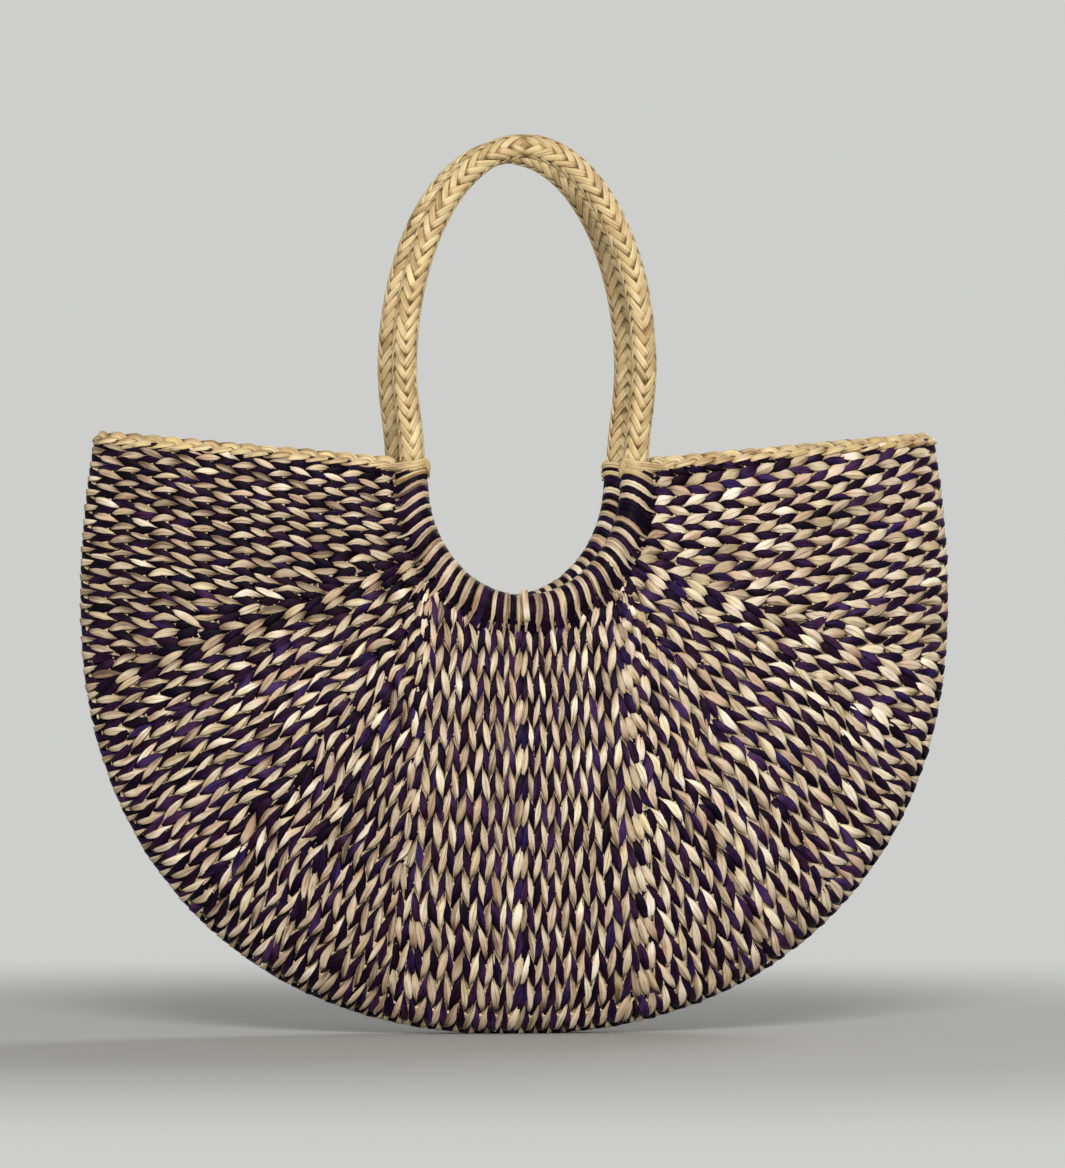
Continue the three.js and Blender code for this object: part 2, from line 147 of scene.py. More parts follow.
class Wall:
    # The wall's middle surface on a grid of station, 0 to 8 through the lines from the left rim
    # to the right rim, and row, 0 to 34: the front's hand opening, its rods, the edge rod and
    # then the same on the back. A point lies between the hand opening's outline and the edge's,
    # as deep as the mouth times (1 - u ^ fullness) ^ (1 / roundness), plus the belly's 4 u (1 - u).
    def __init__(self):
        self.stations = np.linspace(0, lastLine, lastLine * gridPerLine + 1)
        fromRim = np.minimum(self.stations, lastLine - self.stations)
        side = np.sign(self.stations - bottomLine)[:, None]
        edgeShare = np.interp(fromRim, halfLines, edgeShares)
        innerEdge = openingOutline(body["wrapRadius"] + body["clearance"])
        inner = pointsAt(np.interp(fromRim, halfLines, openingShares), *innerEdge)
        outerEdge = outline(
            body["halfWidth"], body["cornerHeight"], body["cornerInset"], body["widestHeight"],
            -body["footFlattening"], body["squareness"], -body["wallThickness"] / 2,
        )
        outer = pointsAt(edgeShare, *outerEdge)
        u = 1 - (1 - np.linspace(0, 1, linePoints)) ** 2
        flat = inner[:, None] * (1 - u[:, None]) + outer[:, None] * u[:, None]
        low = smoothStep(edgeShare)[:, None]
        roundness = body["sideRoundness"] + (body["bottomRoundness"] - body["sideRoundness"]) * low
        depth = body["mouthHalfDepth"] * (1 - u ** body["sectionFullness"]) ** (1 / roundness)
        depth = depth + body["bellyBulge"] * low * 4 * u * (1 - u)
        points = np.stack((side * flat[..., 0], -depth, flat[..., 1]), -1)
        rows = np.arange(edgeRow * gridPerRow + 1) / gridPerRow
        # Rods run level across the middle: they lie lower at its sides, by a part of what is left
        # to the edge that fades as (4 - station) ^ 2 inwards and as station - 2 outwards.
        level = np.where(fromRim > 3, (4 - fromRim) ** 2, np.clip(fromRim - 2, 0, 1))
        front = np.empty((len(points), len(rows), 3))
        for station, line in enumerate(points):
            reach = lengthAlong(line)
            rodPlaces = rodShares() + rods["levelling"] * level[station] * (1 - rodShares())
            rodPlaces[0] = 0
            shares = np.interp(rows, range(edgeRow + 1), rodPlaces)
            front[station] = pointsAt(shares * reach[-1], reach, line)
        self.points = np.concatenate((front, front[:, -2::-1] * (1, -1, 1)), axis=1)
        outwards = np.gradient(self.points, axis=1)
        around = np.gradient(self.points, axis=0)
        self.normals = unit(np.cross(outwards, around))
        self.around = unit(around)
        steps = np.linalg.norm(np.diff(self.points, axis=0), axis=2)
        self.rowLength = np.concatenate((np.zeros((1, steps.shape[1])), np.cumsum(steps, axis=0)))

    def sample(self, field, station, row):
        # Bilinear between the grid's points.
        a = np.clip(station * gridPerLine, 0, field.shape[0] - 1 - 1e-9)
        b = np.clip(row * gridPerRow, 0, field.shape[1] - 1 - 1e-9)
        i, k = a.astype(int), b.astype(int)
        a, b = (a - i)[..., None], (b - k)[..., None]
        near = field[i, k] * (1 - b) + field[i, k + 1] * b
        far = field[i + 1, k] * (1 - b) + field[i + 1, k + 1] * b
        return near * (1 - a) + far * a

    def lengthAt(self, station, row):
        # Distance along a row from the left rim, at one station and an array of rows.
        column = self.rowLength[int(round(station * gridPerLine))]
        return np.interp(row, np.arange(len(column)) / gridPerRow, column)


wall = Wall()
print("wall worked out")


# Strips: a section carried along a path. A piece gathers its strips and makes one mesh.
sectionAcross = np.array((-1, -0.74, 0.74, 1, 0.74, -0.74))
sectionUp = np.array((0, 1, 1, 0, -1, -1))
strawSpacing = 7.31  # between straws in their own coordinates, so that no two have the same marks


class Piece:
    def __init__(self, name):
        self.name = name
        self.points, self.quads, self.caps = [], [], []
        self.coords, self.tones, self.slots = [], [], []
        self.count = 0
        self.strips = 0

    def strip(self, path, facing, width, thickness, tone=0.5, roll=0.0, ring=False, slot=0):
        # A flat straw along the path: six points round each place, wide across the path and
        # thin towards the facing. A ring closes on itself, and other ends get a cap.
        n, m = len(path), len(sectionAcross)
        if ring:
            along = unit(np.roll(path, -1, axis=0) - np.roll(path, 1, axis=0))
        else:
            along = unit(np.gradient(path, axis=0))
        side = unit(np.cross(along, facing))
        up = np.cross(side, along)
        cosine, sine = np.cos(roll), np.sin(roll)
        cosine, sine = np.broadcast_to(cosine, n)[:, None], np.broadcast_to(sine, n)[:, None]
        side, up = side * cosine + up * sine, up * cosine - side * sine
        across = np.broadcast_to(width, n)[:, None] / 2 * sectionAcross
        height = np.broadcast_to(thickness, n)[:, None] / 2 * sectionUp
        points = path[:, None] + side[:, None] * across[..., None] + up[:, None] * height[..., None]
        ringIndex = np.arange(n if ring else n - 1)[:, None] * m
        a = ringIndex + np.arange(m)
        b = ringIndex + np.roll(np.arange(m), -1)
        nextA, nextB = (a + m) % (n * m), (b + m) % (n * m)
        self.quads.append(np.stack((a, b, nextB, nextA), -1).reshape(-1, 4) + self.count)
        if not ring:
            self.caps.append(np.arange(m)[::-1] + self.count)
            self.caps.append(np.arange(m) + self.count + (n - 1) * m)
        self.points.append(points.reshape(-1, 3))
        coord = np.empty((n, m, 3))
        coord[..., 0] = lengthAlong(path)[:, None]
        coord[..., 1] = across
        coord[..., 2] = self.strips * strawSpacing
        self.coords.append(coord.reshape(-1, 3))
        self.tones.append(np.repeat(np.broadcast_to(tone, n), m))
        self.slots.append((len(self.quads[-1]), 0 if ring else 2, slot))
        self.count += n * m
        self.strips += 1

    def make(self, materials, rides, slotName, replaces):
        points = np.concatenate(self.points) * millimetre
        quads = np.concatenate(self.quads)
        caps = np.array(self.caps).reshape(-1, len(sectionAcross))
        corners = np.concatenate((quads.ravel(), caps.ravel()))
        starts = np.concatenate(
            (np.arange(len(quads)) * 4, len(quads) * 4 + np.arange(len(caps)) * caps.shape[1])
        )
        slots = np.concatenate(
            [np.full(quadCount, slot) for quadCount, _, slot in self.slots]
            + [np.full(ends, slot) for _, ends, slot in self.slots]
        )
        mesh = bpy.data.meshes.new(self.name)
        mesh.vertices.add(len(points))
        mesh.vertices.foreach_set("co", points.ravel())
        mesh.loops.add(len(corners))
        mesh.loops.foreach_set("vertex_index", corners.astype(np.int32))
        mesh.polygons.add(len(starts))
        mesh.polygons.foreach_set("loop_start", starts.astype(np.int32))
        mesh.polygons.foreach_set("material_index", slots.astype(np.int32))
        mesh.polygons.foreach_set("use_smooth", np.ones(len(starts), bool))
        mesh.update(calc_edges=True)
        mesh.validate()
        coord = mesh.attributes.new("strawCoord", "FLOAT_VECTOR", "POINT")
        coord.data.foreach_set("vector", np.concatenate(self.coords).ravel())
        # The tone attribute holds each straw's own tone and the painted shade at its tips and where it
        # passes under.
        tone = mesh.attributes.new("strawToneAndShade", "FLOAT", "POINT")
        tone.data.foreach_set("value", np.concatenate(self.tones))
        for material in materials:
            mesh.materials.append(material)
        piece = bpy.data.objects.new(self.name, mesh)
        bpy.context.scene.collection.objects.link(piece)
        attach(piece, rides)
        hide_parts(*replaces)
        return piece


# Materials. One group reads the straws' own coordinates and gives the marks that every straw has,
# and the masks where painted shade darkens a fold or a crease.
def addNode(tree, kind, inputs=None, **settings):
    # A node with its settings, and its inputs as values or as other nodes' outputs.
    node = tree.nodes.new(kind)
    for name, value in settings.items():
        setattr(node, name, value)
    for key, value in (inputs or {}).items():
        if isinstance(value, bpy.types.NodeSocket):
            tree.links.new(value, node.inputs[key])
        else:
            node.inputs[key].default_value = value
    return node


def calculate(tree, operation, *values):
    inputs = dict(enumerate(values))
    return addNode(tree, "ShaderNodeMath", inputs, operation=operation).outputs[0]


def noiseAt(tree, place, scale, detail, roughness=0.5):
    inputs = {"Vector": place, "Scale": scale, "Detail": detail, "Roughness": roughness}
    return addNode(tree, "ShaderNodeTexNoise", inputs).outputs[0]


def newMaterial(name):
    material = bpy.data.materials.new(name)
    material.use_nodes = True
    return material, material.node_tree, material.node_tree.nodes["Principled BSDF"]


grain = {
    "veinStretch": 0.07,  # of the length along a straw, so that veins run along it
    "veinDetail": 3.0,
    "veinRoughness": 0.65,
    "stainScale": 0.055,
    "luckStretch": 0.035,
    # Where across the straw each mark begins and is full, and for which luck. A crease is told by the
    # distance from the straw's middle. Both marks are painted shade, and the crease is also a bump.
    "fold": ((-0.2, 0.3), (0.5, 0.6)),
    "crease": ((0.22, 0.02), (0.46, 0.38)),
}


def makeGrainGroup():
    # Veins run along the straw, blotches are slow stains, and the tone is the straw's own, with painted
    # shade where it goes under. By luck a stretch of straw is painted darker on one side, as the shade
    # of a fold, or has a crease along it that is painted darker as shade.
    group = bpy.data.node_groups.new("strawGrain", "ShaderNodeTree")
    for name, value in (("Veins across", 2.2), ("Blotch size", 0.16)):
        made = group.interface.new_socket(name, in_out="INPUT", socket_type="NodeSocketFloat")
        made.default_value = value
    for name in ("Veins", "Blotches", "Stain", "Tone", "PaintedFoldShade", "Crease"):
        group.interface.new_socket(name, in_out="OUTPUT", socket_type="NodeSocketFloat")
    given = addNode(group, "NodeGroupInput")
    coord = addNode(group, "ShaderNodeAttribute", attribute_name="strawCoord").outputs["Vector"]
    tone = addNode(group, "ShaderNodeAttribute", attribute_name="strawToneAndShade").outputs["Fac"]
    along, across, straw = addNode(group, "ShaderNodeSeparateXYZ", {0: coord}).outputs
    veinPlace = addNode(group, "ShaderNodeCombineXYZ", {
        0: calculate(group, "MULTIPLY", along, grain["veinStretch"]),
        1: calculate(group, "MULTIPLY", across, given.outputs["Veins across"]),
        2: straw,
    }).outputs[0]
    luckPlace = addNode(group, "ShaderNodeCombineXYZ", {
        0: calculate(group, "MULTIPLY", along, grain["luckStretch"]), 2: straw,
    }).outputs[0]
    luck = noiseAt(group, luckPlace, 1.0, 0.0)
    marks = {
        "Veins": noiseAt(group, veinPlace, 1.0, grain["veinDetail"], grain["veinRoughness"]),
        "Blotches": noiseAt(group, coord, given.outputs["Blotch size"], 2.0),
        "Stain": noiseAt(group, coord, grain["stainScale"], 1.0),
        "Tone": tone,
    }
    offMiddle = calculate(group, "ABSOLUTE", across)
    for name, place, limits in (("PaintedFoldShade", across, grain["fold"]), ("Crease", offMiddle, grain["crease"])):
        parts = [
            addNode(
                group, "ShaderNodeMapRange", {"Value": value, "From Min": low, "From Max": high},
                interpolation_type="SMOOTHSTEP",
            ).outputs[0]
            for value, (low, high) in zip((place, luck), limits)
        ]
        marks[name] = calculate(group, "MULTIPLY", *parts)
    addNode(group, "NodeGroupOutput", marks)
    return group


grainGroup = makeGrainGroup()


def linear(colour):
    # A colour of a picture, 0 to 255, as the shader's linear value.
    share = np.array(colour) / 255
    value = np.where(share <= 0.04045, share / 12.92, ((share + 0.055) / 1.055) ** 2.4)
    return (*value, 1.0)


hues = {  # ranges of the slow stain's noise, from where a hue begins to where it is full
    "stain": (0.48, 0.66),
    "tint": (0.5, 0.36),
}
rampPlaces = (0.36, 0.64)  # of the two middle colours
bumpDepth = 0.0004


def makeStraw(name, look):
    # The tone, nudged by blotches and veins and lowered by painted shade in a fold or crease, picks a
    # colour between the look's dark and pale. The stain and the tint then shift its hue.
    material, tree, shader = newMaterial(name)
    marks = addNode(
        tree, "ShaderNodeGroup", {"Veins across": look["veins"], "Blotch size": look["blotch"]},
        node_tree=grainGroup,
    ).outputs
    mixed = marks["Tone"]
    for mark, weight in (("Veins", look["veinShade"]), ("Blotches", look["blotchShade"])):
        centred = calculate(tree, "MULTIPLY_ADD", marks[mark], weight, -weight / 2)
        mixed = calculate(tree, "ADD", mixed, centred)
    # Painted shade: a fold darkens one side of the straw and a crease a line along it.
    for mark, weight in (("PaintedFoldShade", look["foldPaintedShade"]), ("Crease", look["creasePaintedShade"])):
        mixed = calculate(tree, "MULTIPLY_ADD", marks[mark], -weight, mixed)
    ramp = addNode(tree, "ShaderNodeValToRGB", {0: mixed})
    stops = ramp.color_ramp.elements
    stops[0].color = linear(look["colours"][0])
    stops[1].color = linear(look["colours"][-1])
    for place, colour in zip(rampPlaces, look["colours"][1:-1]):
        stops.new(place).color = linear(colour)
    colour = ramp.outputs[0]
    for hue, (low, high) in hues.items():
        dye, strength = look[hue]
        stained = addNode(tree, "ShaderNodeMapRange", {
            "Value": marks["Stain"], "From Min": low, "From Max": high, "To Max": strength,
        }).outputs[0]
        colour = addNode(
            tree, "ShaderNodeMix", {"Factor": stained, "A": colour, "B": linear(dye)},
            data_type="RGBA", blend_type="MULTIPLY",
        ).outputs["Result"]
    smooth, coarse = look["roughness"]
    rough = addNode(
        tree, "ShaderNodeMapRange", {"Value": marks["Veins"], "To Min": smooth, "To Max": coarse}
    )
    bump = addNode(tree, "ShaderNodeBump", {
        "Strength": look["bump"], "Distance": bumpDepth,
        "Height": calculate(tree, "SUBTRACT", marks["Veins"], marks["Crease"]),
    })
    tree.links.new(colour, shader.inputs["Base Color"])
    tree.links.new(rough.outputs[0], shader.inputs["Roughness"])
    tree.links.new(bump.outputs[0], shader.inputs["Normal"])
    shader.inputs["Specular IOR Level"].default_value = look["gloss"]
    return material


naturalLook = {
    "colours": ((96, 78, 61), (172, 152, 128), (207, 190, 166), (242, 233, 216)),
    "stain": ((238, 216, 202), 0.85), "tint": ((255, 250, 226), 0.9),
    "veins": 1.6, "blotch": 0.13, "veinShade": 0.95, "blotchShade": 0.5,
    "foldPaintedShade": 0.3, "creasePaintedShade": 0.4,
    "roughness": (0.42, 0.68), "bump": 0.6, "gloss": 0.3,
}
purpleLook = {
    "colours": ((5, 1, 7), (19, 5, 21), (34, 11, 38), (69, 44, 86)),
    "stain": ((140, 175, 255), 0.65), "tint": ((255, 215, 210), 0.9),
    "veins": 1.6, "blotch": 0.13, "veinShade": 0.9, "blotchShade": 0.6,
    "foldPaintedShade": 0.3, "creasePaintedShade": 0.3,
    "roughness": (0.4, 0.66), "bump": 0.6, "gloss": 0.07,
}
rimLook = {
    **naturalLook, "colours": ((104, 82, 54), (184, 160, 120), (212, 192, 150), (240, 226, 190)),
}
handleLook = {
    "colours": ((98, 78, 46), (182, 157, 112), (213, 191, 148), (238, 221, 178)),
    "stain": ((236, 216, 194), 0.6), "tint": ((250, 246, 226), 0.7),
    "veins": 2.2, "blotch": 0.1, "veinShade": 0.75, "blotchShade": 0.5,
    "foldPaintedShade": 0.2, "creasePaintedShade": 0.3,
    "roughness": (0.42, 0.66), "bump": 0.5, "gloss": 0.3,
}
natural = makeStraw("natural_straw", naturalLook)
purple = makeStraw("purple_straw", purpleLook)
rimStraw = makeStraw("rim_straw", rimLook)
handleStraw = makeStraw("handle_straw", handleLook)


def makeCore(name, dark, pale, scale):
    # Reeds and rope inside the straws: grain on Object coordinates.
    material, tree, shader = newMaterial(name)
    coords = addNode(tree, "ShaderNodeTexCoord")
    ramp = addNode(tree, "ShaderNodeValToRGB", {0: noiseAt(tree, coords.outputs["Object"], scale, 4.0)})
    for stop, place, colour in zip(ramp.color_ramp.elements, (0.3, 0.7), (dark, pale)):
        stop.position = place
        stop.color = linear(colour)
    tree.links.new(ramp.outputs[0], shader.inputs["Base Color"])
    shader.inputs["Roughness"].default_value = 0.75
    return material


rodReed = makeCore("rod_reed", (184, 160, 124), (226, 206, 168), 420)
ropeCore = makeCore("rope_core", (150, 118, 70), (200, 168, 112), 300)
for name, node in frame["nodes"].items():
    if "_rod" in name or "_core" in name or name.endswith("_rope"):
        node.data.materials.clear()
        node.data.materials.append(rodReed if "_rod" in name else ropeCore)
print("materials made")


def wander(places, longest, gap, spread):
    # Luck that changes slowly along a path: drawn at every gap and straight in between.
    knots = np.arange(0, longest, gap)
    return np.interp(places, knots, draws.normal(0, spread, len(knots)))


# The twined straws. Each column holds two straws that change sides between the rods, one over
# each rod and one under it.
straws = {
    "stepsPerRow": 8,  # and twice as many in the first gap
    "lift": 2.5,  # of a straw's middle line over the wall's middle surface, at a rod
    "thickness": 0.9,
    "dip": 0.25,  # turn of the flat side where a straw dives
    # Painted shade: the straws are painted darker towards their tips, where they go under.
    "paintedTipShade": (0.42, 0.36),  # how much darker the natural and purple straws are as they go under
    "start": 0.8,  # from the hand opening's wraps
    "growIn": 0.6,  # rows by which a new straw begins before its first row
    "pastRim": 0.02,  # share of the way across by which a straw may run out past the rim
    "widthJitter": 0.07,
    "crowding": 0.08,  # how much the columns' own pitches differ
    "mostCrowded": 1.6,  # and the most, in those
    "sideJitter": 0.12,
    "liftJitter": 0.06,
    "rollJitter": 0.1,
    "toneJitter": 0.09,
    "rowToneJitter": 0.17,  # from one rod to the next
    "edgeTaper": 4.0,  # over which a natural straw narrows to its tip beside the wraps
    "fillWidth": 0.8,
    "fillPurple": 0.3,
    "fillLead": 1.8,  # of the straws between the rods, in under the wraps
    "fillTone": (0.5, 0.1),  # middle and jitter
}
twinPull = 2.2  # places that a new column moves to come between two alike
anywhereShares = (0.1, 0.9)
# Columns are counted from the first line to the last. Tone is how pale the straws are, from 0 to 1,
# and the left wing's lower tone is painted shade.
# Pitch is in millimetres at the hand opening and at the edge, and spread says how it differs at the
# first line, half way and the last line. Reach is the rows from a rod to where a straw goes under.
# Slant is how far a straw swings to either side of its column, bow how far its middle bends up and
# lap how far its upper edge turns out. Widths are the natural and the purple straw's, and tips their
# parts left where they go under. Slant, bow and widths are shares of the pitch. Over is how much
# higher the natural straw lies than the purple. Slip is how far the columns run out at the rim on
# their way to the edge, from where to where, and rim gives the colours of the column there. Twin is
# the place of two columns alike and their parity. Seams are the places where columns are worked in,
# as a share of the way across, how often, and the colour that doubles up there.
sectors = (
    {"group": "left_wing", "first": 0, "last": 1, "tone": 0.48, "pitch": (3.85, 3.75),
     "spread": (0.96, 0.94, 1.16), "reach": 0.7, "slant": (0.4, 0.42), "bow": 0.2, "lap": 0.12,
     "widths": (0.94, 1.14), "tips": (0.2, 0.36), "over": 0.36, "parity": 1,
     "slip": (0.12, -0.1, 0.9), "rim": (1, 1), "twin": None, "seams": ((0.93, 1, "purple"),)},
    {"group": "left_fan", "first": 1, "last": 3, "tone": 0.6, "pitch": (3.9, 3.95),
     "spread": (1.08, 1, 0.95), "reach": 0.65, "slant": (0.44, 0.48), "bow": 0.12, "lap": 0.1,
     "widths": (0.94, 1.12), "tips": (0.18, 0.3), "over": 0.12, "parity": 0,
     "slip": (0, 0, 1), "rim": (0, 1), "twin": (0.5, 1),
     "seams": ((0.1, 0.22, "purple"), (0.5, 0.34, "purple"), (None, 0.14, None), (1, 0.3, "natural"))},
    {"group": "middle", "first": 3, "last": 5, "tone": 0.62, "pitch": (3.62, 3.95),
     "spread": (1.14, 0.92, 1.04), "reach": 0.64, "slant": (0.47, 0.47), "bow": 0, "lap": 0.06,
     "widths": (1.02, 1.1), "tips": (0.18, 0.24), "over": 0.08, "parity": 1,
     "slip": (0, 0, 1), "rim": (0, 1), "twin": (0.47, 0),
     "seams": ((0, 0.5, "natural"), (1, 0.5, "natural"))},
    {"group": "right_fan", "first": 7, "last": 5, "tone": 0.64, "pitch": (4.15, 4.3),
     "spread": (1.05, 1, 0.95), "reach": 0.67, "slant": (0.44, 0.5), "bow": 0.08, "lap": 0.06,
     "widths": (1.12, 1.02), "tips": (0.2, 0.16), "over": -0.16, "parity": 1,
     "slip": (0, 0, 1), "rim": (0, 1), "twin": (0.5, 1),
     "seams": ((0.1, 0.22, "natural"), (0.5, 0.34, "purple"), (None, 0.14, None), (1, 0.3, "natural"))},
    {"group": "right_wing", "first": 8, "last": 7, "tone": 0.6, "pitch": (4.7, 4.85),
     "spread": (1.02, 1, 0.98), "reach": 0.7, "slant": (0.4, 0.44), "bow": 0.12, "lap": 0.07,
     "widths": (1.14, 0.96), "tips": (0.16, 0.12), "over": -0.24, "parity": 0,
     "slip": (0.19, 0.1, 1.3), "rim": (1, 1), "twin": None, "seams": ((0.93, 1, "natural"),)},
)


def slipAt(sector, fromOpening):
    amount, begins, ends = sector["slip"]
    return amount * smoothStep((fromOpening / edgeRow - begins) / (ends - begins))


def columnCounts(sector):
    # Whole columns at each row of the front, never fewer than at the row before.
    rows = np.arange(edgeRow + 1)
    width = np.abs(wall.lengthAt(sector["last"], rows) - wall.lengthAt(sector["first"], rows))
    width = width * (1 + slipAt(sector, rows))
    pitch = np.interp(rows, (0, edgeRow), sector["pitch"])
    return np.maximum.accumulate(np.round(width / pitch).astype(int))


def placeFor(order, parity, share):
    # Where a new column goes: near the share, and between two alike if there are such.
    wanted = share * len(order)
    alike = [parity[before] == parity[after] for before, after in zip(order, order[1:])]
    return min(
        range(1, len(order)), key=lambda place: abs(place - wanted) - twinPull * alike[place - 1]
    )


def workIn(sector):
    # The columns in order at each row. A column's parity says at which rods its natural straw is
    # on top, and neighbours differ except where one has just been worked in.
    counts = columnCounts(sector)
    order = list(range(counts[0]))
    parity = [(sector["parity"] + counts[0] - 1 - column) % 2 for column in order]
    if sector["twin"]:
        # From the twins to the first line the parities turn over.
        place = int(sector["twin"][0] * counts[0])
        place += parity[place] != sector["twin"][1]
        parity[:place] = [1 - p for p in parity[:place]]
    firstRow = [0] * counts[0]
    orders = [list(order)]
    worked = [0.0] * len(sector["seams"])
    for row in range(1, edgeRow + 1):
        due = counts[row] - counts[row - 1]
        while due > 0:
            total = sum(worked) + 1
            lag = [share * total - done for (_, share, _), done in zip(sector["seams"], worked)]
            seam = int(np.argmax(lag))
            share, _, doubled = sector["seams"][seam]
            anywhere = share is None
            share = draws.uniform(*anywhereShares) if anywhere else share
            for _ in range(min(2, due) if anywhere else 1):
                place = placeFor(order, parity, share)
                before, after = parity[order[place - 1]], parity[order[place]]
                if before == after:
                    new = 1 - before
                else:
                    new = row % 2 if doubled == "natural" else 1 - row % 2
                order.insert(place, len(parity))
                parity.append(new)
                firstRow.append(row)
                worked[seam] += 1
                due -= 1
        orders.append(list(order))
    return orders, parity, firstRow


def columnShares(orders, firstRow, spread):
    # How far across its sector each column's middle is at each row, and its own share of the
    # sector. A new one grows out between its neighbours.
    most = straws["mostCrowded"]
    weight = 1 + straws["crowding"] * np.clip(draws.normal(0, 1, len(firstRow)), -most, most)
    middles = np.zeros((len(firstRow), edgeRow + 1))
    sizes = np.zeros((len(firstRow), edgeRow + 1))
    for row, order in enumerate(orders):
        place = (np.arange(len(order)) + 0.5) / len(order)
        size = weight[order] * np.interp(place, (0, 0.5, 1), spread)
        size = size / size.sum()
        middles[order, row] = np.cumsum(size) - size / 2
        sizes[order, row] = size
        for place, column in enumerate(order):
            if row and firstRow[column] == row:
                older = [c for c in order[:place] if firstRow[c] < row]
                last = middles[older[-1], row - 1] + sizes[older[-1], row - 1] / 2
                middles[column, :row] = last
                sizes[column, :row] = size[place]
    return middles, sizes


def weaveSector(sector, pieces):
    steps = straws["stepsPerRow"]
    firstRod = 2 * steps
    laterRows = np.arange(steps, edgeRow * steps + 1) / steps
    half = np.concatenate((np.arange(firstRod) / firstRod, laterRows))
    rows = np.concatenate((half, 2 * edgeRow - half[-2::-1]))
    fromOpening = np.minimum(rows, 2 * edgeRow - rows)
    onFace = {"front": rows <= edgeRow, "back": rows >= edgeRow}
    orders, parity, firstRow = workIn(sector)
    middles, sizes = columnShares(orders, firstRow, sector["spread"])
    start = wall.lengthAt(sector["first"], rows)
    span = wall.lengthAt(sector["last"], rows) - start
    slip = slipAt(sector, fromOpening)
    betweenRods = np.arange(2 * edgeRow + 2) - 0.5
    rowNumbers = range(edgeRow + 1)
    reach = sector["reach"]
    toRim = 1 if sector["first"] > bottomLine else -1
    for column, p in enumerate(parity):
        share = np.interp(fromOpening, rowNumbers, middles[column]) * (1 + slip) - slip
        station = np.array([
            np.interp(place, wall.rowLength[:, int(round(row * gridPerRow))], wall.stations)
            for place, row in zip(start + np.maximum(share, 0) * span, rows)
        ])
        pitch = np.abs(span) * np.interp(fromOpening, rowNumbers, sizes[column]) * (1 + slip)
        slant = np.interp(share, (0, 1), sector["slant"]) * pitch
        line = wall.sample(wall.points, station, rows)
        normal = unit(wall.sample(wall.normals, station, rows))
        around = unit(wall.sample(wall.around, station, rows))
        # The first gap may be short or up to twice as long, so turns are counted there by the next
        # gap's length: where it is long, the two straws change sides once more.
        length = lengthAlong(line)
        turns = rows.copy()
        turns[:firstRod] = 1 - (length[firstRod] - length[:firstRod]) / (
            length[firstRod + steps] - length[firstRod]
        )
        turns[-firstRod:] = 2 * edgeRow - 1 + (length[-firstRod:] - length[-1 - firstRod]) / (
            length[-1 - firstRod] - length[-1 - firstRod - steps]
        )
        fromEnd = np.minimum(length, length[-1] - length)
        for colour in (0, 1):
            edgeColour = sector["rim"][colour] if column == 0 else colour
            luck = draws.normal(0, 1, (4, len(betweenRods)))
            ownTone = draws.normal(0, straws["toneJitter"])
            ownWidth = draws.normal(0, straws["widthJitter"])
            # Luck is drawn at the middle of each gap and blends over the rods.
            liftLuck, sideLuck, widthLuck, rollLuck = [
                np.interp(rows, betweenRods, drawn) for drawn in luck
            ]
            # Turns from the nearest rod that the straw passes over, -1 to 1.
            fromTop = (turns + p + colour + 1) % 2 - 1
            far = np.abs(fromTop)
            under = np.clip((far - reach) / (1 - reach), 0, 1)
            # Up to its reach the straw is up by 1 - (far / reach) ^ 3 of the lift, and past it
            # down by a quarter sine.
            up = np.where(far < reach, 1 - (far / reach) ** 3, -np.sin(under * halfTurn / 2))
            lift = straws["lift"] + sector["over"] * (0.5 - edgeColour)
            lift = lift * (1 + straws["liftJitter"] * liftLuck) * up
            # It goes straight from side to side and turns back while it is under. Its middle bows
            # up by 1 - (far / reach) ^ 2 of the bow.
            zigzag = np.where(far < reach, fromTop / reach, np.sign(fromTop) * (1 - under))
            crown = np.clip(1 - (far / reach) ** 2, 0, 1)
            sway = -zigzag * slant * (-1) ** p + straws["sideJitter"] * sideLuck
            sway = sway + toRim * sector["bow"] * pitch * (crown - 0.5)
            # A leaf over the rod, full width at it and the tip's where it dives. Underneath it is
            # soon full again, so that no light comes through.
            nearTip = np.where(far < reach, (far / reach) ** 2, (1 - under) ** 6)
            tip = sector["tips"][edgeColour]
            width = 1 - (1 - tip) * nearTip
            width = width * sector["widths"][edgeColour] * pitch
            width = width * (1 + ownWidth + straws["widthJitter"] * widthLuck)
            if edgeColour == 0:
                beside = smoothStep((fromEnd - straws["start"]) / straws["edgeTaper"])
                width = width * (tip + (1 - tip) * beside)
            roll = straws["rollJitter"] * rollLuck + straws["dip"] * zigzag * (-1) ** p
            roll = roll - toRim * sector["lap"]
            rowLuck = draws.normal(0, straws["rowToneJitter"], len(betweenRods))
            # The left wing's lower sector tone is painted shade.
            tone = sector["tone"] + ownTone + np.interp(rows, betweenRods, rowLuck)
            # Painted shade: the tone falls towards the tip, where the straw goes under its neighbours.
            tone = tone - straws["paintedTipShade"][edgeColour] * nearTip**2
            begins = firstRow[column] - straws["growIn"] if firstRow[column] > 1 else 0
            seen = (fromOpening >= begins) & (fromEnd > straws["start"])
            seen &= share > -straws["pastRim"]
            path = line + normal * lift[:, None] + around * sway[:, None]
            for face in faces:
                used = seen & onFace[face]
                if used.sum() > 3:
                    pieces[face].strip(
                        path[used], normal[used], width[used], straws["thickness"], tone[used],
                        roll[used], slot=edgeColour,
                    )
